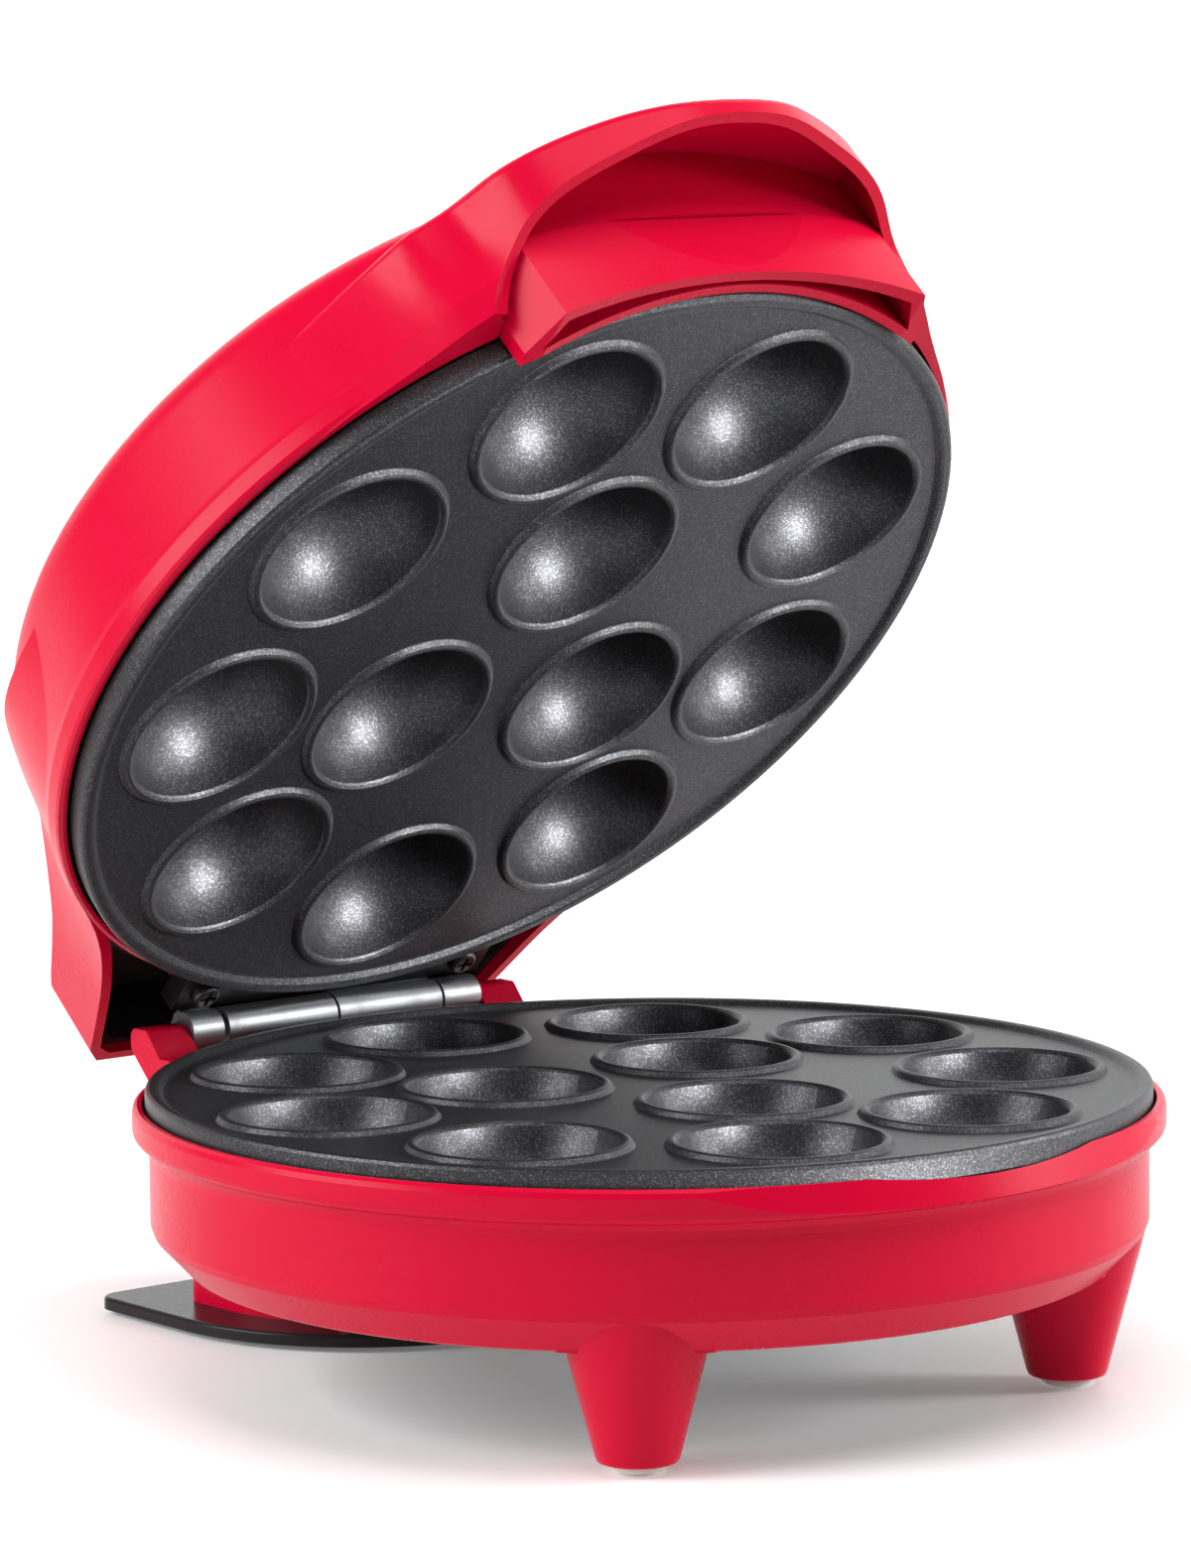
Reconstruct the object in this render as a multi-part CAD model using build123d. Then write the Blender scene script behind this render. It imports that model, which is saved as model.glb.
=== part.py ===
from build123d import *
import os, math

# Countertop cooker with a hinged lid: two round cooking plates with twelve
# ball-shaped wells each, in round moulded housings.
# Millimetres, +Z up, front (handle) towards -Y, hinge towards +Y, lid shown open.
# Everything is first drawn with the plate axis on X = Y = 0 and the bench top at
# Z = 0; Y_SHIFT at the end brings the origin under the middle of the whole box.

# ---------------------------------------------------------------- dimensions
Y_SHIFT = -17.045        # set so that the origin is the bottom centre of the box

R_PLATE = 100.0          # outer radius of both cooking plates
Z_RIM = 60.0             # rim plane of the lower plate above the bench
PLATE_GAP = 2.0          # free gap between the two rim planes when closed
Z_RIM_U = Z_RIM          # the lid's parts are drawn with their rim plane here, then raised by the gap
PLATE_SIDE = 5.5         # height of a plate's outer edge
FIELD_DROP = 1.3         # how far the flat field lies under the rim plane
FIELD_T = 3.0            # thickness of the flat field

WELL_R = 19.4            # radius of a well at the rim plane
WELL_DEPTH = 16.5
WELL_WALL = 2.2
LIP_R = 21.6             # outer radius of the raised lip round each well
RING_OUT_R = 71.5        # nine wells on this circle
RING_IN_R = 29.0         # three wells on this circle
RING_OUT = [-150, -110, -70, -30, 10, 50, 90, 130, 170]
RING_IN = [-90, 30, 150]

HINGE_Y = 105.093        # hinge axis, parallel to X
HINGE_Z = 60.390
HINGE_ZL = HINGE_Z - PLATE_GAP   # the same axis in the drawing position of the lid's parts
OPEN_DEG = 48.73         # lid opening in the modelled pose
PIN_D = 3.0
KNUCKLE_R = 4.2
KNUCKLE_BORE_R = 1.55

WALL = 2.2               # wall of the moulded housings
R_LIP = 102.6            # widest radius of both housings
R_BODY = 99.3
Z_BOTTOM = 24.2          # underside of the lower housing

LEG_X, LEG_Y = 55.5, -62.0
LEG_R0, LEG_Z0 = 8.1, 1.8
LEG_R1, LEG_Z1 = 12.9, 21.0

SPOOL_Y, SPOOL_R, SPOOL_BACK = 91.0, 37.5, 107.0
FLANGE_R, FLANGE_BACK = 49.0, 123.0
FLANGE_Z0, FLANGE_Z1 = 1.0, 3.6

EAR_X0, EAR_X1 = 38.5, 48.7

POST_R = 85.0            # screw posts of the plates
POST_ANG = [-90, 30, 150]
HEATER_R = 50.0
HEATER_D = 6.5
HEAT_Z = 16.5            # element axis behind the rim plane

parts = {}


# ---------------------------------------------------------------- helpers
def prof(points):
    """Closed face in the XZ plane from (r, z) points."""
    return make_face(Plane.XZ * Polyline(*[(p[0], p[1]) for p in points], close=True))


def rev(points, arc=360):
    return revolve(prof(points), Axis.Z, revolution_arc=arc)


def cyl(r, z0, z1, x=0.0, y=0.0):
    return Pos(x, y, (z0 + z1) / 2) * Cylinder(r, z1 - z0)


def box(x0, x1, y0, y1, z0, z1):
    return Pos((x0 + x1) / 2, (y0 + y1) / 2, (z0 + z1) / 2) * Box(x1 - x0, y1 - y0, z1 - z0)


def cone(r0, z0, r1, z1, x=0.0, y=0.0):
    return Pos(x, y, (z0 + z1) / 2) * Cone(r0, r1, z1 - z0)


def polar(r, deg):
    a = math.radians(deg)
    return r * math.cos(a), r * math.sin(a)


def plan(points, z0, z1):
    """Prism from plan points."""
    return Pos(0, 0, z0) * extrude(make_face(Polyline(*points, close=True)), z1 - z0, dir=(0, 0, 1))


def side(points, x0, x1):
    """Prism along X from (y, z) points."""
    f = make_face(Plane.YZ * Polyline(*points, close=True))
    return Pos(x0, 0, 0) * extrude(f, x1 - x0, dir=(1, 0, 0))


def d_shape(r, yc, back, z0, z1, corner=0.0):
    b = (cyl(r, z0, z1, 0, yc) & box(-r - 1, r + 1, yc - r - 1, yc, z0 - 1, z1 + 1)) + box(-r, r, yc, back, z0, z1)
    if corner:
        b = fillet(b.edges().filter_by(Axis.Z).group_by(Axis.Y)[-1], corner)
    return b


def screw(x, y, z_head, length, d=3.0, head_d=6.0, head_h=2.0, up=True):
    """Pan-head screw. up=True: head below, shank pointing up."""
    s = 1 if up else -1
    sh = cyl(d / 2, *sorted((z_head, z_head + s * length)), x, y)
    hd = cyl(head_d / 2, *sorted((z_head, z_head - s * head_h)), x, y)
    hd = fillet(hd.edges().group_by(Axis.Z)[0 if up else -1], head_h * 0.45)
    zs = z_head - s * head_h
    c1 = box(x - head_d * 0.33, x + head_d * 0.33, y - 0.45, y + 0.45,
             *sorted((zs, zs + s * head_h * 0.55)))
    c2 = box(x - 0.45, x + 0.45, y - head_d * 0.33, y + head_d * 0.33,
             *sorted((zs, zs + s * head_h * 0.55)))
    return sh + hd - c1 - c2


def group(items):
    return Compound([solid1(i) for i in items])


def solid1(s):
    """Largest solid of a result."""
    so = s.solids()
    so.sort(key=lambda q: -q.volume)
    return so[0]


# ---------------------------------------------------------------- cooking plates
# drawn face up with the rim plane at z = 0
def cooking_plate(post_len):
    disc = rev([(0, -FIELD_DROP - FIELD_T), (96.5, -FIELD_DROP - FIELD_T),
                (97.6, -PLATE_SIDE), (99.4, -PLATE_SIDE), (R_PLATE, -PLATE_SIDE + 0.6),
                (R_PLATE, -0.9), (99.7, -0.3), (99.1, 0.0), (97.9, 0.0), (97.3, -0.25),
                (96.2, -FIELD_DROP + 0.15), (95.6, -FIELD_DROP), (0, -FIELD_DROP)])
    rs = (WELL_R ** 2 + WELL_DEPTH ** 2) / (2 * WELL_DEPTH)
    zc = -WELL_DEPTH + rs                         # centre of the ball
    # outside of one well: raised lip and bowl
    pts = [(0, -0.05), (WELL_R + 0.5, -0.05), (LIP_R - 1.0, -0.05), (LIP_R - 0.45, -0.3),
           (LIP_R + 0.1, -FIELD_DROP + 0.12), (LIP_R + 0.6, -FIELD_DROP - 0.2),
           (LIP_R + 0.2, -FIELD_DROP - 0.6)]
    ro = rs + WELL_WALL
    n = 9
    a0 = math.asin((-FIELD_DROP - FIELD_T + 0.5 - zc) / ro)
    arc = []
    for i in range(n + 1):
        a = a0 + (-math.pi / 2 - a0) * i / n
        arc.append((max(ro * math.cos(a), 0.0), zc + ro * math.sin(a)))
    arc[-1] = (0, zc - ro)
    line1 = Polyline(*pts, arc[0])
    mid = arc[n // 2]
    arc_e = ThreePointArc(arc[0], mid, arc[-1])
    line2 = Line(arc[-1], pts[0])
    well = revolve(make_face(Plane.XZ * Curve([line1, arc_e, line2])), Axis.Z)
    # inside of one well: ball with an eased mouth
    cut = Sphere(rs)
    cut = Pos(0, 0, zc) * cut
    cut = cut & Pos(0, 0, -20) * Box(60, 60, 40)
    mouth = rev([(0, -0.9), (WELL_R - 0.16, -0.9), (WELL_R + 0.15, -0.45),
                 (WELL_R + 0.75, -0.02), (WELL_R + 0.75, 0.6), (0, 0.6)])
    cutter = cut + mouth
    spots = [polar(RING_OUT_R, a) for a in RING_OUT] + [polar(RING_IN_R, a) for a in RING_IN]
    p = disc
    for x, y in spots:
        p = p + Pos(x, y, 0) * well
    for a in POST_ANG:
        x, y = polar(POST_R, a)
        p = p + cone(4.6, -post_len, 5.4, -FIELD_DROP - FIELD_T + 0.2, x, y)
    # saddles that the heating element is pressed into, and the thermostat's pedestal
    for a in (-60, 0, 60, 120, 180, 240):
        x, y = polar(HEATER_R, a)
        p = p + cyl(5.4, -18.4, -FIELD_DROP - FIELD_T + 0.2, x, y)
    p = p + cyl(6.5, -12.6, -FIELD_DROP - FIELD_T + 0.2)
    p = p - Pos(0, 0, -HEAT_Z) * Torus(HEATER_R, HEATER_D / 2 + 0.05)
    for x, y in spots:
        p = p - Pos(x, y, 0) * cutter
    for a in POST_ANG:
        x, y = polar(POST_R, a)
        p = p - cyl(1.55, -post_len - 1, -post_len + 11, x, y)
    return solid1(p)


POST_LEN = 22.0
plate_up = cooking_plate(POST_LEN)
lower_plate = Pos(0, 0, Z_RIM) * plate_up
# the upper plate is the same casting turned over about the X axis of the rim plane,
# with its wells mirrored so that they meet the lower ones
upper_plate = Pos(0, 0, Z_RIM_U) * mirror(plate_up, Plane.XY)

parts["lower_cooking_plate"] = ("base", lower_plate)
parts["upper_cooking_plate"] = ("lid", upper_plate)


# ---------------------------------------------------------------- heating elements
def heater(zc):
    """Open ring with two ends that turn outwards between the wells."""
    r = HEATER_R
    a0, a1 = 112.0, 428.0
    p0 = polar(r, a0)
    pm = polar(r, 270.0)
    p1 = polar(r, a1)
    ring = ThreePointArc((*p0, 0), (*pm, 0), (*p1, 0))

    # each end: short arc, then straight outwards
    def end(deg, sgn):
        s = polar(r, deg)
        t = (-math.sin(math.radians(deg)) * sgn, math.cos(math.radians(deg)) * sgn)
        n_ = (math.cos(math.radians(deg)), math.sin(math.radians(deg)))
        q = (s[0] + t[0] * 6 + n_[0] * 6, s[1] + t[1] * 6 + n_[1] * 6)
        m = (s[0] + t[0] * 6 * math.sin(math.pi / 4) + n_[0] * 6 * (1 - math.cos(math.pi / 4)),
             s[1] + t[1] * 6 * math.sin(math.pi / 4) + n_[1] * 6 * (1 - math.cos(math.pi / 4)))
        e = (q[0] + n_[0] * 20, q[1] + n_[1] * 20)
        arc = ThreePointArc((*s, 0), (*m, 0), (*q, 0))
        return arc, Line((*q, 0), (*e, 0))
    a_s, l_s = end(a0, -1)
    a_e, l_e = end(a1, 1)
    segs = []
    for path in (ring, a_s, l_s, a_e, l_e):
        pl = Plane(origin=path @ 0, z_dir=path % 0)
        segs.append(sweep(pl * Circle(HEATER_D / 2), path=path))
    b = segs[0]
    for s in segs[1:]:
        b = b + s
    # thinner connection pins
    for path in (l_s, l_e):
        pl = Plane(origin=path @ 1, z_dir=path % 1)
        b = b + extrude(pl * Circle(1.6), 9)
    return solid1(Pos(0, 0, zc) * b)


parts["lower_heating_element"] = ("base", heater(Z_RIM - HEAT_Z))
parts["upper_heating_element"] = ("lid", heater(Z_RIM_U + HEAT_Z))


# ---------------------------------------------------------------- heat shields
def shield():
    s = rev([(0, 0), (90.5, 0), (92.5, 2.0), (93.5, 9.0), (92.9, 9.0), (91.9, 2.3),
             (90.2, 0.7), (0, 0.7)])
    for a in POST_ANG:
        x, y = polar(POST_R, a)
        s = s - cyl(2.3, -2, 4, x, y)
    s = s - cyl(6.0, -2, 4, 0, -10)
    s = s - box(-16, 16, 84, 99, -2, 12)
    return solid1(s)


SH_Z = Z_RIM - POST_LEN - 0.7
parts["lower_heat_shield"] = ("base", Pos(0, 0, SH_Z) * shield())
parts["upper_heat_shield"] = ("lid", Pos(0, 0, Z_RIM_U + POST_LEN + 0.7) * mirror(shield(), Plane.XY))

# ---------------------------------------------------------------- lower housing
WL = WALL
LOW = [(0, Z_BOTTOM), (91.3, Z_BOTTOM), (92.4, 24.7), (98.7, 31.3), (99.3, 33.0)]
TOP = [(R_LIP, 55.2), (102.3, 56.2), (101.6, 56.7), (0, 56.7)]
shell = rev(LOW + [(99.3, 47.2), (99.6, 48.6), (100.6, 49.9), (101.8, 50.5), (102.4, 51.2),
                   (R_LIP, 52.0)] + TOP)
inner = rev([(0, 26.6), (91.0, 26.6), (96.6, 32.4), (97.1, 33.6), (97.1, 47.6),
             (98.0, 50.2), (100.7, 52.4), (100.7, 60), (0, 60)])
# scoop in the lip under the handle
shell = shell - (cyl(140, 46.5, 60, 0, 12.4) - cone(115.2, 46.5, 111.7, 60.5, 0, 12.4))
# legs
leg_k = (LEG_R1 - LEG_R0) / (LEG_Z1 - LEG_Z0)
for sx in (-1, 1):
    zt = 33.0
    leg = revolve(make_face(Plane.XZ * Polyline((0, LEG_Z0), (LEG_R0 - 1.2, LEG_Z0), (LEG_R0 - 0.35, LEG_Z0 + 0.35),
                                                (LEG_R0, LEG_Z0 + 1.2),
                                                (LEG_R0 + leg_k * (zt - LEG_Z0), zt), (0, zt), close=True)), Axis.Z)
    flange = cyl(16.6, Z_BOTTOM, 28.8)
    flange = Pos(sx * LEG_X, LEG_Y, 0) * flange
    flange = flange & rev([(0, 20), (92.0, 20), (92.4, 24.7), (98.7, 31.3), (0, 31.3)])
    shell = shell + Pos(sx * LEG_X, LEG_Y, 0) * leg + flange
# rear block that carries the hinge and stands on the cord spool
rear = box(-40, 40, 80, 108, Z_BOTTOM, 46) + box(-36.5, 36.5, 80, 103.8, 44, 55.8)
rear = fillet(rear.edges().filter_by(Axis.Z).group_by(Axis.Y)[-1], 3.0)
shell = shell + rear
# ears beside the hinge
ear_pts = [(84, 46.5), (97.5, 46.5), (108.2, 57.2), (108.6, 58.4), (108.6, 60.9), (107.6, 62.1),
           (103.4, 62.1), (102.8, 61.7), (98.6, 56.7), (84, 56.7)]
for sx in (-1, 1):
    e = side(ear_pts, *sorted((sx * EAR_X0, sx * EAR_X1)))
    shell = shell + e
# hollow it
shell = shell - inner
shell = shell - cyl(100.7, 52.4, 70)
shell = shell - cyl(88.8, 20, 26.8)
# bring back leg flanges and legs inside, and the ledge ring for the bottom cover
ledge = rev([(86.0, 26.6), (91.5, 26.6), (93.0, 28.8), (86.0, 28.8)])
shell = shell + ledge
shell = shell - (box(-37.8, 37.8, 88.9, 105.8, 26.6, 43.8) - cyl(99.2, 20, 50))
shell = shell - box(-37.8, 37.8, 84, 104, 31, 43.8)
for sx in (-1, 1):
    legc = Pos(sx * LEG_X, LEG_Y, 0)
    leg = revolve(make_face(Plane.XZ * Polyline((0, LEG_Z0), (LEG_R0 - 1.2, LEG_Z0), (LEG_R0 - 0.35, LEG_Z0 + 0.35),
                                                (LEG_R0, LEG_Z0 + 1.2),
                                                (LEG_R0 + leg_k * (28.8 - LEG_Z0), 28.8), (0, 28.8), close=True)), Axis.Z)
    flange = cyl(16.6, Z_BOTTOM, 28.8)
    lf = (legc * flange) & rev([(0, 20), (92.0, 20), (92.4, 24.7), (96.2, 28.9), (0, 28.9)])
    shell = shell + legc * leg + lf
    bore = revolve(make_face(Plane.XZ * Polyline((0, LEG_Z0 + 3.0), (LEG_R0 - 2.6, LEG_Z0 + 3.0),
                                                 (LEG_R0 - 2.3 + leg_k * (29 - LEG_Z0), 29.2),
                                                 (0, 29.2), close=True)), Axis.Z)
    shell = shell - (legc * bore)
# lugs that carry the shield and plate
for a in POST_ANG:
    lug = box(79, 98.2, -6, 6, SH_Z - 4.0, SH_Z)
    tip = cyl(6, SH_Z - 4.0, SH_Z, 79, 0)
    l_ = Rot(0, 0, a) * (lug + tip)
    shell = shell + l_
    x, y = polar(POST_R, a)
    shell = shell - cyl(2.1, SH_Z - 6, SH_Z + 2, x, y)
# bosses for the bottom cover
BC_ANG = [-62, -118, 8, 172]
for a in BC_ANG:
    x, y = polar(81.0, a)
    b = cyl(4.0, 28.0, 33.0, x, y)
    b = b + Rot(0, 0, a) * box(81, 95.3, -2.2, 2.2, 28.8, 32.5)
    b = b + Rot(0, 0, a) * box(80, 91.5, -4.0, 4.0, 27.0, 28.8)
    shell = shell + b
for a in BC_ANG:
    x, y = polar(81.0, a)
    shell = shell - cyl(1.3, 25, 32, x, y)
# holes for hinge screws and for the cord
BH = [(-20, 50.2), (20, 50.2)]
for x, z in BH:
    shell = shell - Pos(x, 100, z) * Rot(90, 0, 0) * Cylinder(1.45, 14)
# passage for the leads and bosses for the spool's long screws
SPOOL_LONG = [(-26, 97), (26, 97)]
SPOOL_SHORT = [(-24, 66), (24, 66)]
for x, y in SPOOL_LONG:
    shell = shell + cyl(4.2, 26.0, 38.0, x, y)
    shell = shell - cyl(1.45, 20, 36.0, x, y)
shell = shell - box(-12, 12, 90, 93.5, 20, 28)
base_housing = solid1(shell)
parts["base_housing"] = ("base", base_housing)

# ---------------------------------------------------------------- bottom cover
bc = cyl(88.4, 24.4, 26.4)
for sx in (-1, 1):
    bc = bc - cyl(17.2, 20, 30, sx * LEG_X, LEG_Y)
for a in BC_ANG:
    x, y = polar(81.0, a)
    bc = bc - cyl(1.7, 20, 30, x, y)
for i in range(-4, 5):          # cooling slots
    bc = bc - box(i * 7 - 1.5, i * 7 + 1.5, -34, 6, 20, 30)
parts["bottom_cover"] = ("base", solid1(bc))
parts["bottom_cover_screws"] = ("base", group(
    [screw(*polar(81.0, a), 24.4, 7.0, d=2.5, head_d=5.6, head_h=1.8) for a in BC_ANG]))

# ---------------------------------------------------------------- cord spool and its flange
sp = d_shape(SPOOL_R, SPOOL_Y, SPOOL_BACK, FLANGE_Z1, 24.1, 5.0)
spi = d_shape(SPOOL_R - 2.2, SPOOL_Y, SPOOL_BACK - 2.2, FLANGE_Z1 + 2.4, 21.9, 3.5)
sp = sp - spi
for x, y in SPOOL_LONG:
    sp = sp + cyl(4.0, FLANGE_Z1, 23.0, x, y)
for x, y in SPOOL_SHORT:
    sp = sp + cyl(4.0, FLANGE_Z1, 14.0, x, y)
for x, y in SPOOL_LONG:
    sp = sp - cyl(1.8, 2, 30, x, y)
for x, y in SPOOL_SHORT:
    sp = sp - cyl(1.45, 2, 12.5, x, y)
sp = sp - box(-12, 12, 90, 93.5, 20, 28)
sp = sp - Pos(0, 106, 14.5) * Rot(90, 0, 0) * Cylinder(4.6, 8)
parts["cord_spool"] = ("base", solid1(sp))
fl = d_shape(FLANGE_R, SPOOL_Y, FLANGE_BACK, FLANGE_Z0, FLANGE_Z1, 5.0)
fl = fillet(fl.edges().group_by(Axis.Z)[-1], 0.8)
for x, y in SPOOL_LONG + SPOOL_SHORT:
    fl = fl - cyl(1.8, 0, 5, x, y) - cyl(3.4, 0, 2.4, x, y)
parts["cord_spool_flange"] = ("base", solid1(fl))
parts["spool_screws"] = ("base", group(
    [screw(x, y, 2.4, 32.0, d=2.8, head_d=6.0, head_h=1.2) for x, y in SPOOL_LONG]))
parts["flange_screws"] = ("base", group(
    [screw(x, y, 2.4, 9.0, d=2.8, head_d=6.0, head_h=1.2) for x, y in SPOOL_SHORT]))
pads = []
for x, y in [(-38, 112), (38, 112), (0, 49)]:
    b = cyl(4.5, 0.0, FLANGE_Z0, x, y)
    pads.append(b)
parts["flange_pads"] = ("base", group(pads))

# strain-relief seat where the mains lead would enter
gr = Pos(0, 106.8, 14.5) * Rot(90, 0, 0) * (Cylinder(4.5, 3.4) - Cylinder(2.6, 6))
gr = gr + Pos(0, 108.0, 14.5) * Rot(90, 0, 0) * (Cylinder(6.2, 1.6) - Cylinder(2.6, 6))
parts["cord_inlet_bush"] = ("base", solid1(gr))

# ---------------------------------------------------------------- feet
bump = []
for sx in (-1, 1):
    b = revolve(make_face(Plane.XZ * Polyline((0, 0), (3.6, 0), (4.6, 0.3), (5.2, 0.9), (5.2, LEG_Z0),
                                              (0, LEG_Z0), close=True)), Axis.Z)
    bump.append(Pos(sx * LEG_X, LEG_Y, 0) * b)
parts["foot_bumpers"] = ("base", group(bump))

# ---------------------------------------------------------------- screws of the lower plate
parts["lower_plate_screws"] = ("base", group(
    [screw(*polar(POST_R, a), SH_Z - 4.0, 13.5, d=3.0, head_d=6.4, head_h=2.2) for a in POST_ANG]))


# ---------------------------------------------------------------- electrics
def thermostat(zp, s):
    b = cyl(7.6, 13.5, 20.0) + cyl(6.2, 12.6, 13.5)
    b = b + box(-5.6, -4.6, -1.6, 1.6, 20.0, 20.9) + box(4.6, 5.6, -1.6, 1.6, 20.0, 20.9)
    b = mirror(b, Plane.XY) if s < 0 else b
    return solid1(Pos(0, 0, zp) * b)


parts["lower_thermostat"] = ("base", thermostat(Z_RIM, -1))
parts["upper_thermostat"] = ("lid", thermostat(Z_RIM_U, 1))
fuse = Pos(0, -58, SH_Z + 0.7 + 2.03) * Rot(0, 90, 0) * Cylinder(2.0, 12) \
    + Pos(0, -58, SH_Z + 0.7 + 2.03) * Rot(0, 90, 0) * Cylinder(0.6, 26)
parts["thermal_fuse"] = ("base", solid1(fuse))
tb = box(-17, 17, 54, 68, 26.4, 35.5)
for i in (-1, 0, 1):
    tb = tb - cyl(2.6, 31, 40, i * 10, 61)
    tb = tb - Pos(i * 10, 61, 29.4) * Rot(90, 0, 0) * Cylinder(1.8, 20)
parts["terminal_block"] = ("base", solid1(tb))

# ---------------------------------------------------------------- hinge
ks_base = [(-28.8, -0.6), (28.2, 38.1)]
ks_lid = [(-38.1, -30.2), (0.1, 27.5)]
LEAF_Y0, LEAF_Y1 = 103.8, 105.3


def knuckle(x0, x1, z=HINGE_Z):
    return Pos((x0 + x1) / 2, HINGE_Y, z) * Rot(0, 90, 0) * Cylinder(KNUCKLE_R, x1 - x0)


bl = box(-36, 36, LEAF_Y0 + 0.05, LEAF_Y1, 46.1, 55.0)
for x0, x1 in ks_base:
    bl = bl + knuckle(x0, x1) + box(max(x0, -36), min(x1, 36), LEAF_Y0 + 0.05, LEAF_Y1, 54, HINGE_Z)
bl = bl - Pos(0, HINGE_Y, HINGE_Z) * Rot(0, 90, 0) * Cylinder(PIN_D / 2 + 0.01, 100)
for x, z in BH:
    bl = bl - Pos(x, 104.5, z) * Rot(90, 0, 0) * Cylinder(1.7, 6)
parts["base_hinge_leaf"] = ("base", solid1(bl))


def yscrew(x, z, y_head, length, d, head_d, head_h):
    """Screw whose shank points to -Y."""
    s = Pos(x, y_head - length / 2, z) * Rot(90, 0, 0) * Cylinder(d / 2, length)
    h = Pos(x, y_head + head_h / 2, z) * Rot(90, 0, 0) * Cylinder(head_d / 2, head_h)
    h = fillet(h.edges().group_by(Axis.Y)[-1], head_h * 0.45)
    c = box(x - 2, x + 2, y_head + head_h * 0.45, y_head + head_h + 1, z - 0.45, z + 0.45) \
        + box(x - 0.45, x + 0.45, y_head + head_h * 0.45, y_head + head_h + 1, z - 2, z + 2)
    return s + h - c


parts["base_hinge_screws"] = ("base", group([yscrew(x, z, LEAF_Y1, 10.0, 2.8, 6.0, 1.8) for x, z in BH]))

pin = Pos(0, HINGE_Y, HINGE_Z) * Rot(0, 90, 0) * Cylinder(PIN_D / 2, 75.6)
parts["hinge_pin"] = ("base", solid1(pin))

LZ0, LZ1 = 62.0, 63.5    # leaf of the lid, nearly flush with the knuckles' tops
ll = plan([(-40.5, 91.0), (40.5, 91.0), (40.5, 101.9), (-40.5, 101.9)], LZ0, LZ1)
for sx in (-1, 1):
    ll = ll + box(*sorted((sx * 39.1, sx * 40.5)), 91.0, 101.9, LZ0, LZ1 + 3.4)
ll = ll - cyl(100.7, LZ0 - 1, LZ1 + 4) - cyl(102.9, 64.8, LZ1 + 4)
for x0, x1 in ks_lid:
    ll = ll + knuckle(x0, x1, HINGE_ZL) + box(x0, x1, 101.5, HINGE_Y, LZ0, LZ1 - 0.6)
ll = ll - Pos(0, HINGE_Y, HINGE_ZL) * Rot(0, 90, 0) * Cylinder(KNUCKLE_BORE_R, 100)
LH = [(-34.0, 97.5), (34.0, 97.5)]
for x, y in LH:
    ll = ll - cyl(1.7, LZ0 - 1, LZ1 + 1, x, y)
parts["lid_hinge_leaf"] = ("lid", solid1(ll))
parts["lid_hinge_screws"] = ("lid", group(
    [screw(x, y, LZ0, 7.0, d=2.8, head_d=6.0, head_h=1.8) for x, y in LH]))

# ---------------------------------------------------------------- lid housing (drawn closed)
ZL = Z_RIM_U
out_pts = [(0, 65.0), (101.6, 65.0), (102.3, 65.4), (R_LIP, 66.2), (R_LIP, 69.6), (102.2, 71.0),
           (97.6, 93.0), (97.1, 95.4), (95.9, 98.8), (93.4, 101.6), (89.4, 103.9), (84.0, 105.9),
           (70.0, 108.6), (50.0, 110.8), (25.0, 112.1), (0, 112.5)]
in_pts = [(0, 60.0), (100.8, 60.0), (100.8, 68.6), (100.2, 70.2), (95.4, 92.8), (94.4, 95.2), (92.0, 98.6),
          (88.6, 101.2), (83.6, 103.3), (69.6, 106.2), (49.8, 108.5), (24.9, 109.8), (0, 110.2)]


def smooth_rev(pts, split):
    """Straight points up to index split, one spline after it."""
    l1 = Polyline(*[(p[0], p[1]) for p in pts[:split + 1]])
    s2 = Spline([(p[0], p[1]) for p in pts[split:]])
    l3 = Line((pts[-1][0], pts[-1][1]), (pts[0][0], pts[0][1]))
    return revolve(make_face(Plane.XZ * Curve([l1, s2, l3])), Axis.Z)


lid_out = smooth_rev(out_pts, 6)
lid_in = smooth_rev(in_pts, 4)

# plan outline of the hood that carries the handle: front points, and outward offsets from the
# round wall (low, high) at angles from the front where the hood runs smoothly into it
HOOD_FRONT = [(0.0, -127.9), (13.0, -126.4), (25.9, -120.9), (36.8, -114.9), (46.1, -105.8)]
HOOD_SIDE = [(27.8, 7.6, 8.9), (32.2, 5.0, 8.2), (36.0, 2.9, 4.5), (39.7, 1.4, 2.2), (43.5, 0.55, 0.9),
             (47.0, 0.2, 0.35), (50.5, -0.15, -0.15), (55.0, -1.0, -1.0), (60.0, -2.5, -2.5)]


def wall_r(z):
    return 102.2 - 0.209 * (max(z, 71.0) - 71.0)


def hood_face(off, z):
    k = (z - 65.0) / 25.0
    right = list(HOOD_FRONT)
    for a, lo, hi in HOOD_SIDE:
        t = math.radians(a - 90.0)
        q = wall_r(z) + lo + (hi - lo) * k
        right.append((q * math.cos(t), q * math.sin(t)))
    pts = [(-x, y) for x, y in reversed(right[1:])] + right
    out = []
    for x, y in pts:
        # move each point towards the middle by off
        n_ = math.hypot(x, y + 60.0)
        out.append((x - off * x / n_, y - off * (y + 60.0) / n_))
    edges = [Spline([(x, y) for x, y in out]), Polyline(out[-1], (out[-1][0] - 14, -40.0), (out[0][0] + 14, -40.0), out[0])]
    return Pos(0, 0, z) * make_face(Curve(edges))


def hood_prism(off, z0):
    low = loft([hood_face(off, z0), hood_face(off, 71.0)], ruled=True)
    high = loft([hood_face(off, 71.0), hood_face(off, 110.0)], ruled=True)
    return low + high


# roof of the hood: side profile turned about a far axis, so that it is crowned
ROOF_AX_Z = -60.8


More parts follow.
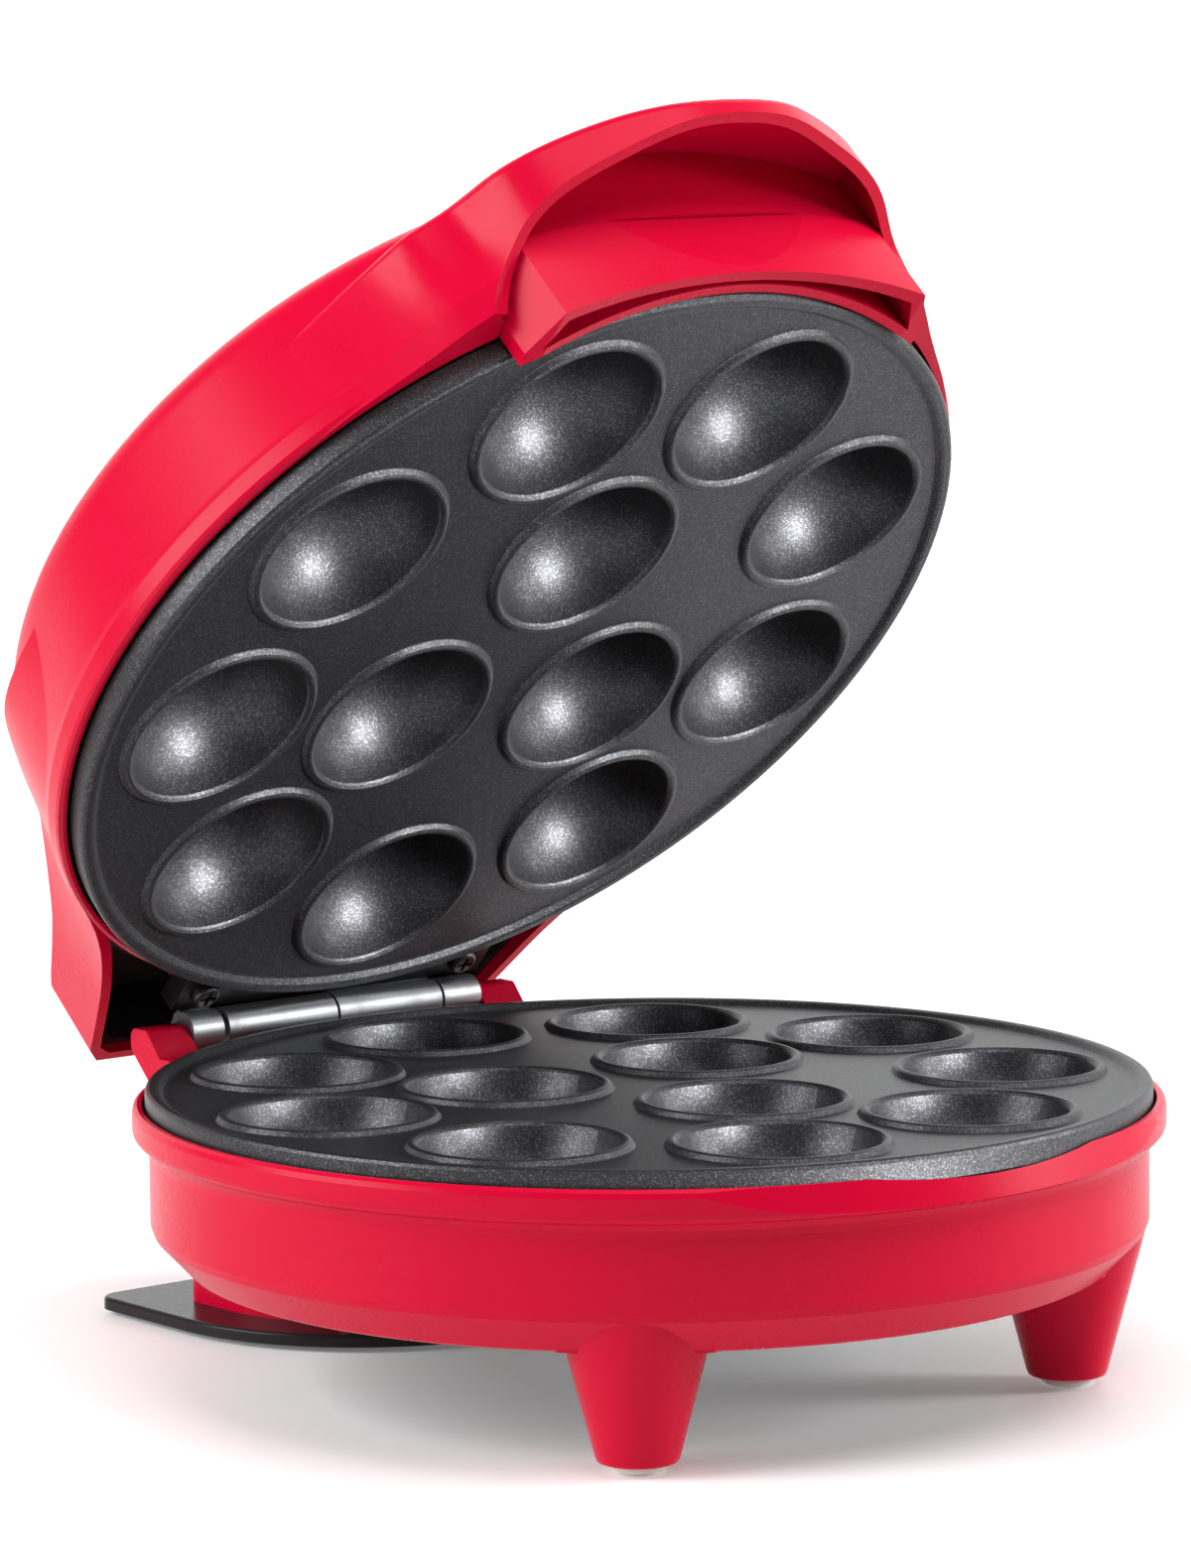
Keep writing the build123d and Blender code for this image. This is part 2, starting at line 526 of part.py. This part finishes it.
def roof(off, z_low=60.0):
    pts = [(-132.0, 81.2 - off), (-129.0, 84.8 - off), (-126.0, 87.6 - off), (-122.0, 90.4 - off), (-117.0, 93.0 - off),
           (-108.0, 96.6 - off), (-97.0, 100.2 - off), (-84.0, 103.6 - off), (-66.0, 106.6 - off), (-40.0, 108.6 - off)]
    l1 = Spline([(p[0], p[1]) for p in pts])
    l2 = Polyline(pts[-1], (-40.0, 45.0), (-132.0, 45.0), pts[0])
    f = make_face(Plane.YZ * Curve([l1, l2]))
    r = revolve(f, Axis((0, 0, ROOF_AX_Z), (0, 1, 0)), revolution_arc=80)
    return r.rotate(Axis((0, 0, ROOF_AX_Z), (0, 1, 0)), -40.0)


# the hood's lower edge seen from the side: down beside the handle insert, then forwards
EDGE = [(-92.4, 62.0), (-94.3, 66.0), (-97.2, 70.4), (-101.3, 74.1), (-105.6, 76.5), (-111.9, 78.7), (-118.0, 80.2),
        (-124.0, 81.4), (-134.0, 82.8)]


def below_cut():
    l1 = Spline([(y, z) for y, z in EDGE])
    l2 = Polyline((-134.0, 82.8), (-134.0, 50.0), (-92.4, 50.0), (-92.4, 62.0))
    f = make_face(Plane.YZ * Curve([l1, l2]))
    return Pos(-90, 0, 0) * extrude(f, 180, dir=(1, 0, 0))


HOOD_ROUND = 2.6


def rounded_hood():
    h = hood_prism(0.0, 65.0) & roof(0.0)
    h = solid1(h)
    top = [e for e in h.edges() if e.center().Z > 78 and e.center().Y < -60 and e.length > 60]
    try:
        return solid1(fillet(top, HOOD_ROUND))
    except Exception:
        print("hood edge left sharp")
        return h


hood = rounded_hood() - below_cut()
hood_in = hood_prism(2.4, 60.0) & roof(2.4)

# hinge cover at the back: (angle from +X, radius low, radius high) where it leaves the round
# wall, then plan points of its sides; low is at z 66, high at z 94
TAIL_WALL = [(172.0, 101.8, 97.4), (166.0, 102.2, 99.3), (160.0, 102.4, 100.4), (154.0, 102.4, 99.9), (148.0, 102.2, 99.0),
             (141.0, 102.2, 98.9), (134.5, 102.5, 99.8)]
TAIL_SIDE = [(-65.5, 82.2, -64.3), (-60.8, 91.1, -60.4), (-57.7, 98.6, -57.5), (-55.6, 104.9, -55.4), (-53.2, 112.4, -53.1),
             (-51.6, 117.6, -51.5)]


def tail_face(off, z):
    k = (z - 66.0) / 28.0
    left = []
    for a, lo, hi in TAIL_WALL:
        q = lo + (hi - lo) * k - off
        left.append(polar(q, a))
    for xl, y, xh in TAIL_SIDE:
        left.append((xl + (xh - xl) * k + off, y - off * 0.35))
    right = [(-x, y) for x, y in left]
    back = 121.2 - off
    edges = [Spline(left), Polyline(left[-1], (left[-1][0] + 3.2, back), (right[-1][0] - 3.2, back), right[-1]),
             Spline(right[::-1]), Polyline(right[0], (60.0, -10.0), (-60.0, -10.0), left[0])]
    return Pos(0, 0, z) * make_face(Curve(edges))


TAIL_AX_Z = -240.0


def tail_roof(off, zb=50.0):
    pts = [(-12.0, 106.5 - off), (40.0, 106.5 - off), (78.0, 100.4 - off), (91.0, 96.4 - off), (99.0, 93.6 - off),
           (107.0, 91.6 - off), (115.0, 89.8 - off), (118.6 - off * 0.3, 88.4 - off), (122.0 - off, 84.0 - off), (122.0 - off, zb), (-12.0, zb)]
    f = make_face(Plane.YZ * Polyline(*pts, close=True))
    r = revolve(f, Axis((0, 0, TAIL_AX_Z), (0, 1, 0)), revolution_arc=60)
    return r.rotate(Axis((0, 0, TAIL_AX_Z), (0, 1, 0)), -30.0)


tail_low = [(-14, 40), (-14, 65.4), (84, 65.4), (96, 65.8), (130, 66.5), (130, 40)]
tail = (loft([tail_face(0.0, 60.0), tail_face(0.0, 110.0)], ruled=True) & tail_roof(0.0)) - side(tail_low, -120, 120)
tail_in = loft([tail_face(2.2, 40.0), tail_face(2.2, 110.0)], ruled=True) & tail_roof(2.4, 30.0)
tail_in = tail_in & box(-70, 70, 60, 125, 40, 110)

# handle insert: envelope in plan, closed end faces, open pocket underneath
ins_front = [(-50.3, -91.0), (-45.6, -101.2), (-38.0, -102.9), (-29.0, -104.4), (-14.6, -105.8), (0, -106.3),
             (14.6, -105.8), (29.0, -104.4), (38.0, -102.9), (45.6, -101.2), (50.3, -91.0)]


def insert_prism(off, z0, z1):
    pts = [(x * (1 - off / 50.0), y + off) for x, y in ins_front]
    s_ = Spline([p for p in pts[1:-1]])
    e = [Line(pts[0], pts[1]), s_, Line(pts[-2], pts[-1]),
         Polyline(pts[-1], (pts[-1][0] - 1, -84.0), (pts[0][0] + 1, -84.0), pts[0])]
    return Pos(0, 0, z0) * extrude(make_face(Curve(e)), z1 - z0, dir=(0, 0, 1))


lid_solid = lid_out + hood + tail
# finger recess in front of the back wall, which follows the insert's face in plan; beside
# the insert's ends it runs down as a narrow gap
finger = (hood_in & box(-60, 60, -140, -98.3, 60, 120)) - insert_prism(0.3, 40, 130)
finger = finger + ((hood_in & box(-60, 60, -140, -91.6, 60, 77.6)) - cyl(103.0, 55, 78))
# hollow of the hood behind the back wall
hood_void = hood_in & (box(-90, 90, -96.0, -40, 79.8, 120) + insert_prism(2.5, 79.8, 120))
lid = lid_solid - lid_in - hood_void - finger
# the hinge cover is hollow behind the lid's own wall
lid = lid - (tail_in - lid_out)
# shelf that the lid leaf is screwed to, with its two bosses
shelf = box(-39, 39, 88, 101.9, LZ1, LZ1 + 2.8) - cyl(100.8, 50, 80)
lid = lid + shelf
for x, y in LH:
    lid = lid + (cyl(4.2, LZ1, LZ1 + 8.0, x, y) - cyl(100.8, 50, 80)) - cyl(1.45, LZ1 - 1, LZ1 + 6.5, x, y)

INS_TOP = 77.3
env = insert_prism(-0.35, 50, INS_TOP + 0.3) - cyl(100.65, 40, 90)
lid = lid - env
ins = insert_prism(0.0, 56.9, INS_TOP) - cyl(100.9, 40, 90)
# the lower edge is arched between the two ends
arch = Pos(0, 0, 0) * side([(-130, 40), (-130, 60.5), (-80, 60.5), (-80, 40)], -60, 60)
arch_cut = Pos(0, -100, 60.5 - 290.0) * Rot(90, 0, 0) * Cylinder(290.0, 80)
ins = ins - arch_cut
pocket = insert_prism(2.3, 50, 73.6) - cyl(102.9, 40, 90)
ins = ins - pocket
# its face leans back a little towards the top
lean = side([(-112, 50), (-106.8, 50), (-106.5, 60), (-104.9, 77.4), (-104.9, 80), (-112, 80)], -60, 60)
ins = ins - lean
for x in (-30, 30):
    lid = lid - box(x - 5.2, x + 5.2, -101.8, -98.3, 74, 86)
# two snap tongues hold it in the lid
for x in (-30, 30):
    ins = ins + box(x - 5, x + 5, -101.6, -99.4, 76.0, 85.0) + box(x - 5, x + 5, -99.5, -98.6, 82.6, 84.2)
parts["handle_insert"] = ("lid", solid1(ins))

# dark liner of the hinge cover's hollow
def cavity(d, z0, z1):
    c_ = loft([tail_face(2.2 + d, z0), tail_face(2.2 + d, 110.0)], ruled=True) & tail_roof(2.4 + d, 30.0)
    c_ = c_ & box(-70 + d, 70 - d, 62, 125, z0, z1)
    return c_ - cyl(102.8 + d, 30, 71.4) - cone(102.8 + d, 71.4, 96.7 + d, 100.0)


lin = cavity(0.1, 68.6, 84.0) - cavity(1.4, 60.0, 82.6)
lin = lin - box(-43, 43, 80, 102.6, 60, 67.0)
for x, y in LH:
    lin = lin - cyl(4.6, 60, 74, x, y)
parts["hinge_cavity_liner"] = ("lid", solid1(lin))

# posts inside the lid that the shield and plate are screwed to
USZ = Z_RIM_U + POST_LEN + 0.7
for a in POST_ANG:
    x, y = polar(POST_R, a)
    lid = lid + cyl(5.0, USZ, 101.9, x, y)
    lid = lid - cyl(1.55, USZ - 1, USZ + 9.5, x, y)
for x in (-15.2, 15.2):
    lid = lid + cyl(2.0, 93.7, 108.4, x, -58)
# openings for the two indicator lenses
LENS = [(-9.0, -58.0), (9.0, -58.0)]
for x, y in LENS:
    lid = lid - cyl(3.2, 100, 120, x, y)
lid_housing = solid1(lid)
parts["lid_housing"] = ("lid", lid_housing)

for nm, (x, y) in zip(("power_lens", "ready_lens"), LENS):
    b = cyl(3.1, 105.0, 109.9, x, y) + cyl(4.3, 104.8, 105.8, x, y)
    b = b + (Pos(x, y, 109.9 - 4.6) * Sphere(5.6) & cyl(3.1, 109.5, 115, x, y))
    parts[nm] = ("lid", solid1(b))
lh = box(-17, 17, -64, -52, 92.5, 93.7)
for x, y in LENS:
    lh = lh + cyl(3.6, 93.7, 97.7, x, y) + cyl(2.4, 97.7, 103.5, x, y)
parts["indicator_lamps"] = ("lid", solid1(lh))

parts["upper_plate_studs"] = ("lid", group(
    [cyl(1.5, USZ - 11.0, USZ + 9.0, *polar(POST_R, a)) for a in POST_ANG]))

# ---------------------------------------------------------------- place and write
hinge = Axis((0, HINGE_Y, HINGE_Z), (1, 0, 0))
os.makedirs("parts", exist_ok=True)
for name, (body, shape) in parts.items():
    s = shape
    if body == "lid":
        s = (Pos(0, 0, PLATE_GAP) * s).rotate(hinge, -OPEN_DEG)
    s = Pos(0, Y_SHIFT, 0) * s
    export_step(s, f"parts/{name}.step")
print("nodes", len(parts))
print("hinge axis y, z", round(HINGE_Y + Y_SHIFT, 3), HINGE_Z)
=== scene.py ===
import math
import bpy
from mathutils import Matrix, Vector

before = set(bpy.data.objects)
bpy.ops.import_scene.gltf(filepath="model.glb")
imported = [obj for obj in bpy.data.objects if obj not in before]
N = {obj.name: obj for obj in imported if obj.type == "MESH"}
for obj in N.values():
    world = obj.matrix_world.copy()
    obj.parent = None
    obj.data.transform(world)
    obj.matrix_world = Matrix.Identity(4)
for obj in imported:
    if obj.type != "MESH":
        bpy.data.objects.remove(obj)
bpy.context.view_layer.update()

scene = bpy.context.scene
scene.view_settings.view_transform = "Standard"

# ------------------------------------------------------------------ camera
YS = -0.017045                      # the model's shift along Y
cam_data = bpy.data.cameras.new("camera")
cam = bpy.data.objects.new("camera", cam_data)
scene.collection.objects.link(cam)
R = Vector((0.76973293, -0.63830759, -0.00863921))
U = Vector((0.08656188, 0.09095723, 0.99208559))
W = Vector((0.63246996, 0.76438878, -0.12526588))
cam.matrix_world = Matrix(((R.x, U.x, -W.x, -0.784571),
                           (R.y, U.y, -W.y, -0.932463 + YS),
                           (R.z, U.z, -W.z, 0.272680),
                           (0, 0, 0, 1)))
cam_data.sensor_fit = "VERTICAL"
cam_data.sensor_height = 36.0
cam_data.lens = 6262.06 / 1580 * 36.0
cam_data.clip_start = 0.05
cam_data.clip_end = 50
cam_data.dof.use_dof = False
scene.camera = cam


# ------------------------------------------------------------------ material helpers
class Mat:
    """A node material built step by step."""

    def __init__(self, name):
        self.m = bpy.data.materials.new(name)
        self.m.use_nodes = True
        self.t = self.m.node_tree
        self.t.nodes.clear()
        self.out = self.t.nodes.new("ShaderNodeOutputMaterial")
        self.b = self.t.nodes.new("ShaderNodeBsdfPrincipled")
        self.t.links.new(self.b.outputs[0], self.out.inputs[0])
        self.co = self.t.nodes.new("ShaderNodeTexCoord").outputs["Object"]

    def set(self, **kw):
        for k, v in kw.items():
            self.b.inputs[k.replace("_", " ")].default_value = v
        return self

    def link(self, a, b):
        self.t.links.new(a, b)

    def plug(self, name, out):
        self.t.links.new(out, self.b.inputs[name])

    def noise(self, scale, detail=3.0, rough=0.55, stretch=None, kind="FBM"):
        n = self.t.nodes.new("ShaderNodeTexNoise")
        n.inputs["Scale"].default_value = scale
        n.inputs["Detail"].default_value = detail
        n.inputs["Roughness"].default_value = rough
        src = self.co
        if stretch:
            mp = self.t.nodes.new("ShaderNodeMapping")
            mp.inputs["Scale"].default_value = stretch
            self.link(src, mp.inputs["Vector"])
            src = mp.outputs[0]
        self.link(src, n.inputs["Vector"])
        return n.outputs["Fac"]

    def voronoi(self, scale, feature="F1", out="Distance", rnd=1.0):
        n = self.t.nodes.new("ShaderNodeTexVoronoi")
        n.feature = feature
        n.inputs["Scale"].default_value = scale
        n.inputs["Randomness"].default_value = rnd
        self.link(self.co, n.inputs["Vector"])
        return n.outputs[out]

    def ramp(self, fac, stops, interp="LINEAR"):
        n = self.t.nodes.new("ShaderNodeValToRGB")
        n.color_ramp.interpolation = interp
        e = n.color_ramp.elements
        while len(e) < len(stops):
            e.new(0.5)
        for el, (p, c) in zip(e, stops):
            el.position = p
            el.color = c if len(c) == 4 else (*c, 1.0)
        self.link(fac, n.inputs["Fac"])
        return n.outputs["Color"]

    def map(self, v, a, b, c, d, clamp=True):
        n = self.t.nodes.new("ShaderNodeMapRange")
        n.clamp = clamp
        self.link(v, n.inputs["Value"])
        for i, q in zip(("From Min", "From Max", "To Min", "To Max"), (a, b, c, d)):
            n.inputs[i].default_value = q
        return n.outputs["Result"]

    def math(self, op, a, b=None, c=None):
        n = self.t.nodes.new("ShaderNodeMath")
        n.operation = op
        for i, v in enumerate((a, b, c)):
            if v is None:
                continue
            if isinstance(v, (int, float)):
                n.inputs[i].default_value = v
            else:
                self.link(v, n.inputs[i])
        return n.outputs[0]

    def mix(self, fac, a, b, blend="MIX"):
        n = self.t.nodes.new("ShaderNodeMix")
        n.data_type = "RGBA"
        n.blend_type = blend
        for v, i in ((fac, 0), (a, 6), (b, 7)):
            if isinstance(v, (int, float)):
                n.inputs[i].default_value = v
            elif isinstance(v, tuple):
                n.inputs[i].default_value = v if len(v) == 4 else (*v, 1.0)
            else:
                self.link(v, n.inputs[i])
        return n.outputs[2]

    def bump(self, height, strength, distance, normal=None):
        n = self.t.nodes.new("ShaderNodeBump")
        n.inputs["Strength"].default_value = strength
        n.inputs["Distance"].default_value = distance
        self.link(height, n.inputs["Height"])
        if normal is not None:
            self.link(normal, n.inputs["Normal"])
        return n.outputs["Normal"]


def red_plastic(name):
    """Glossy moulded red plastic: slight mottling, faint orange peel, fine wear in the gloss."""
    m = Mat(name)
    blotch = m.noise(14, 4, 0.6)
    base = m.mix(m.map(blotch, 0.3, 0.7, 0, 1), (0.490, 0.0010, 0.024), (0.515, 0.0013, 0.027))
    m.plug("Base Color", base)
    fine = m.noise(900, 3, 0.6)
    wide = m.noise(22, 3, 0.5)
    rgh = m.math("ADD", m.map(wide, 0.3, 0.7, 0.25, 0.31), m.map(fine, 0.35, 0.65, -0.006, 0.008))
    m.plug("Roughness", rgh)
    peel = m.noise(420, 2, 0.5)
    m.plug("Normal", m.bump(peel, 0.035, 0.00010))
    m.set(Specular_IOR_Level=0.10)
    return m.m


def nonstick(name, bright=1.0):
    """Dark non-stick coating with a fine metallic fleck."""
    m = Mat(name)
    f1 = m.noise(3800, 2, 0.7)
    f2 = m.voronoi(4600, "F1", "Color")
    sep = m.t.nodes.new("ShaderNodeSeparateColor")
    m.link(f2, sep.inputs[0])
    fleck = m.map(sep.outputs[0], 0.72, 1.0, 0, 1)
    tone = m.ramp(f1, [(0.30, (0.018, 0.018, 0.021)), (0.55, (0.030, 0.030, 0.033)), (0.80, (0.060, 0.061, 0.066))])
    base = m.mix(m.math("MULTIPLY", fleck, 0.50), tone, (0.20, 0.20, 0.21))
    m.plug("Base Color", base)
    m.plug("Metallic", m.map(fleck, 0, 1, 0.78, 0.92))
    m.plug("Roughness", m.map(f1, 0.3, 0.8, 0.37, 0.48))
    g = m.math("ADD", m.noise(2600, 3, 0.65), m.math("MULTIPLY", m.noise(4800, 2, 0.6), 0.5))
    m.plug("Normal", m.bump(g, 0.30, 0.00008))
    m.set(Specular_IOR_Level=0.5)
    return m.m


def dark_plastic(name, base=(0.028, 0.029, 0.032), rough=(0.45, 0.6), peel=0.2, scale=900, spec=0.5):
    m = Mat(name)
    n1 = m.noise(30, 4, 0.6)
    m.plug("Base Color", m.mix(m.map(n1, 0.3, 0.7, 0, 1), base, tuple(c * 1.25 for c in base)))
    n2 = m.noise(scale, 3, 0.6)
    m.plug("Roughness", m.map(n2, 0.3, 0.7, *rough))
    m.plug("Normal", m.bump(n2, peel, 0.00012))
    m.set(Specular_IOR_Level=spec)
    return m.m


def metal(name, base, rough=(0.25, 0.42), stretch=(6, 900, 900), tarnish=0.35, bumps=0.15):
    """Drawn or stamped steel with fine marks along X and slight tarnish."""
    m = Mat(name)
    lines = m.noise(1.0, 4, 0.65, stretch=stretch)
    blot = m.noise(160, 4, 0.6)
    dark = tuple(c * (1 - tarnish) for c in base)
    col = m.mix(m.map(blot, 0.35, 0.7, 0, 1), base, dark)
    m.plug("Base Color", m.mix(m.map(lines, 0.3, 0.7, 0, 0.35), col, tuple(min(1, c * 1.2) for c in base)))
    m.plug("Roughness", m.math("ADD", m.map(lines, 0.3, 0.7, *rough), m.map(blot, 0.3, 0.7, -0.04, 0.06)))
    m.plug("Normal", m.bump(lines, bumps, 0.00005))
    m.set(Metallic=1.0)
    return m.m


def leaf_metal(name, axis_y, axis_z):
    """Black leaf whose knuckles round the hinge axis are worn to bare steel."""
    m = Mat(name)
    lines = m.noise(1.0, 4, 0.65, stretch=(6, 900, 900))
    blot = m.noise(160, 4, 0.6)
    sep = m.t.nodes.new("ShaderNodeSeparateXYZ")
    m.link(m.co, sep.inputs[0])
    dy = m.math("SUBTRACT", sep.outputs[1], axis_y)
    dz = m.math("SUBTRACT", sep.outputs[2], axis_z)
    d = m.math("SQRT", m.math("ADD", m.math("MULTIPLY", dy, dy), m.math("MULTIPLY", dz, dz)), 0.0)
    bare = m.map(d, 0.0044, 0.0047, 1, 0)
    black = m.mix(m.map(blot, 0.35, 0.7, 0, 1), (0.045, 0.045, 0.048), (0.030, 0.030, 0.032))
    steel = m.mix(m.map(blot, 0.35, 0.7, 0, 1), (0.44, 0.45, 0.47), (0.32, 0.325, 0.34))
    m.plug("Base Color", m.mix(bare, black, steel))
    m.plug("Roughness", m.math("ADD", m.map(lines, 0.3, 0.7, 0.34, 0.46), m.map(blot, 0.3, 0.7, -0.04, 0.06)))
    m.plug("Normal", m.bump(lines, 0.15, 0.00005))
    m.set(Metallic=0.9)
    return m.m


def rubber(name, base, rough=(0.55, 0.7)):
    m = Mat(name)
    n = m.noise(700, 3, 0.6)
    m.plug("Base Color", m.mix(m.map(m.noise(90, 3), 0.3, 0.7, 0, 1), base, tuple(c * 0.82 for c in base)))
    m.plug("Roughness", m.map(n, 0.3, 0.7, *rough))
    m.plug("Normal", m.bump(n, 0.2, 0.0001))
    return m.m


def lens(name, base):
    m = Mat(name)
    m.plug("Base Color", m.mix(m.map(m.noise(300, 3), 0.3, 0.7, 0, 1), base, tuple(c * 0.8 for c in base)))
    m.plug("Roughness", m.map(m.noise(800, 2), 0.3, 0.7, 0.08, 0.16))
    m.set(Transmission_Weight=0.35, IOR=1.49)
    return m.m


RED = red_plastic("red_gloss_plastic")
PLATE = nonstick("nonstick_coating")
DARK = dark_plastic("cover_plastic")
GLOSSY = dark_plastic("rear_plate_gloss", (0.018, 0.015, 0.017), (0.20, 0.27), 0.05, 500, 0.10)
# real black phenolic on the thermostats; on hinge_cavity_liner the same black is painted shade inside the hinge
# cavity
BLACKP_AND_SHADE = dark_plastic("black_phenolic_and_painted_shade", (0.012, 0.012, 0.013), (0.3, 0.45))
PALEP = dark_plastic("pale_ceramic", (0.62, 0.60, 0.54), (0.35, 0.5))
STEEL = metal("hinge_steel", (0.44, 0.45, 0.47), (0.34, 0.46))
LEAF = leaf_metal("black_leaf", 0.105093 + YS, 0.060390)
SHEET = metal("shield_sheet", (0.74, 0.74, 0.76), (0.22, 0.36), (900, 8, 900), 0.2)
ELEM = metal("element_sheath", (0.26, 0.25, 0.25), (0.4, 0.55), (400, 400, 400), 0.4)
BLACKM = metal("black_zinc", (0.10, 0.10, 0.105), (0.35, 0.5), (500, 500, 500), 0.4)
SCREW = metal("screw_zinc", (0.52, 0.52, 0.54), (0.25, 0.4), (500, 500, 500), 0.45)
PALE = rubber("foot_rubber", (0.74, 0.71, 0.66))
BLACKR = rubber("black_rubber", (0.02, 0.02, 0.021))
LRED = lens("lens_red", (0.62, 0.01, 0.01))
LGREEN = lens("lens_green", (0.02, 0.42, 0.07))

USE = {
    "base_housing": RED, "lid_housing": RED, "handle_insert": RED, "cord_spool": RED,
    "lower_cooking_plate": PLATE, "upper_cooking_plate": PLATE,
    "bottom_cover": DARK, "cord_spool_flange": GLOSSY,
    "foot_bumpers": PALE, "flange_pads": BLACKR, "cord_inlet_bush": BLACKR,
    "lower_heat_shield": SHEET, "upper_heat_shield": SHEET,
    "lower_heating_element": ELEM, "upper_heating_element": ELEM,
    "lower_thermostat": BLACKP_AND_SHADE, "upper_thermostat": BLACKP_AND_SHADE,
    "terminal_block": PALEP, "indicator_lamps": PALEP,
    # hinge_cavity_liner is a black sheet standing in for the shade inside the lid's hinge cavity: painted shade,
    # not a real black part
    "base_hinge_leaf": STEEL, "hinge_pin": STEEL, "lid_hinge_leaf": LEAF, "lid_hinge_screws": BLACKM, "hinge_cavity_liner": BLACKP_AND_SHADE,
    "power_lens": LRED, "ready_lens": LGREEN,
}
for name, o in N.items():
    mat = USE.get(name, SCREW)
    if not o.data.materials:
        o.data.materials.append(mat)
    for i in range(len(o.material_slots)):
        o.material_slots[i].material = mat

# ------------------------------------------------------------------ floor and backdrop
fm = Mat("floor_paint_and_painted_glow")
fm.plug("Base Color", fm.mix(fm.map(fm.noise(3, 3), 0.3, 0.7, 0, 1), (0.86, 0.87, 0.87), (0.88, 0.89, 0.89)))
fm.plug("Roughness", fm.map(fm.noise(40, 3), 0.3, 0.7, 0.55, 0.65))
# painted glow: the floor emits light, weak (0.13) near the object and strong (0.80) far behind it along the view
# direction, standing in for light on the backdrop
fm.plug("Emission Color", fm.mix(fm.map(fm.noise(3, 3), 0.3, 0.7, 0, 1), (0.98, 0.98, 0.98), (1.0, 1.0, 1.0)))
far = fm.t.nodes.new("ShaderNodeVectorMath")
far.operation = "DOT_PRODUCT"
fm.link(fm.co, far.inputs[0])
far.inputs[1].default_value = (0.6375, 0.7705, 0.0)
fm.plug("Emission Strength", fm.map(far.outputs["Value"], 0.25, 1.3, 0.13, 0.80))
verts, faces = [], []
prof = [(-3.0, 0.0), (2.2, 0.0)]
for i in range(1, 13):
    a = math.pi / 2 * i / 12
    prof.append((2.2 + 0.9 * math.sin(a), 0.9 - 0.9 * math.cos(a)))
prof.append((3.1, 4.0))
for d, z in prof:
    for s in (-5.0, 5.0):
        # the sweep runs along the camera's viewing direction
        h = Vector((0.6375, 0.7705))
        q = Vector((h.y, -h.x))
        verts.append((h.x * d + q.x * s, h.y * d + q.y * s, z - 0.0002))
for i in range(len(prof) - 1):
    faces.append((2 * i, 2 * i + 1, 2 * i + 3, 2 * i + 2))
me = bpy.data.meshes.new("floor")
me.from_pydata(verts, [], faces)
floor = bpy.data.objects.new("floor", me)
scene.collection.objects.link(floor)
me.materials.append(fm.m)
for p in me.polygons:
    p.use_smooth = True


# ------------------------------------------------------------------ lights
def area(name, direction, dist, size, power, target=(0, 0, 0.1), color=(1, 1, 1), size_y=None):
    l = bpy.data.lights.new(name, "AREA")
    l.energy = power
    l.color = color
    l.shape = "RECTANGLE"
    l.size = size
    l.size_y = size_y or size
    o = bpy.data.objects.new(name, l)
    scene.collection.objects.link(o)
    t = Vector(target)
    d = Vector(direction).normalized()
    o.location = t + d * dist
    o.rotation_euler = (-d).to_track_quat("-Z", "Y").to_euler()
    return o


area("key_front_right", (0.95, -0.75, 0.35), 1.8, 0.50, 17, size_y=0.5)
area("top_softbox", (-0.05, -0.38, 1.0), 1.6, 1.2, 19)
area("left_softbox", (-1.0, 0.42, 0.50), 1.6, 1.0, 31)
area("right_fill", (1.0, -0.45, 0.25), 1.9, 0.8, 6)
# a low light that only brightens the bowls of the two cooking plates
glow = area("plate_light", (0.29, -0.95, 0.10), 1.7, 0.55, 95, size_y=0.55)
lit = bpy.data.collections.new("lit_by_plate_light")
for name in ("lower_cooking_plate", "upper_cooking_plate"):
    lit.objects.link(N[name])
glow.light_linking.receiver_collection = lit

# a high light from the right for the faces that look up, on the red mouldings only
high = area("moulding_light", (0.5, -0.5, 1.0), 1.7, 0.50, 15, size_y=0.5)
lit_red = bpy.data.collections.new("lit_by_moulding_light")
for name in ("lid_housing", "handle_insert", "base_housing"):
    lit_red.objects.link(N[name])
high.light_linking.receiver_collection = lit_red

world = bpy.data.worlds.new("world")
scene.world = world
world.use_nodes = True
bg = world.node_tree.nodes["Background"]
bg.inputs[0].default_value = (1, 1, 1, 1)
bg.inputs[1].default_value = 0.07
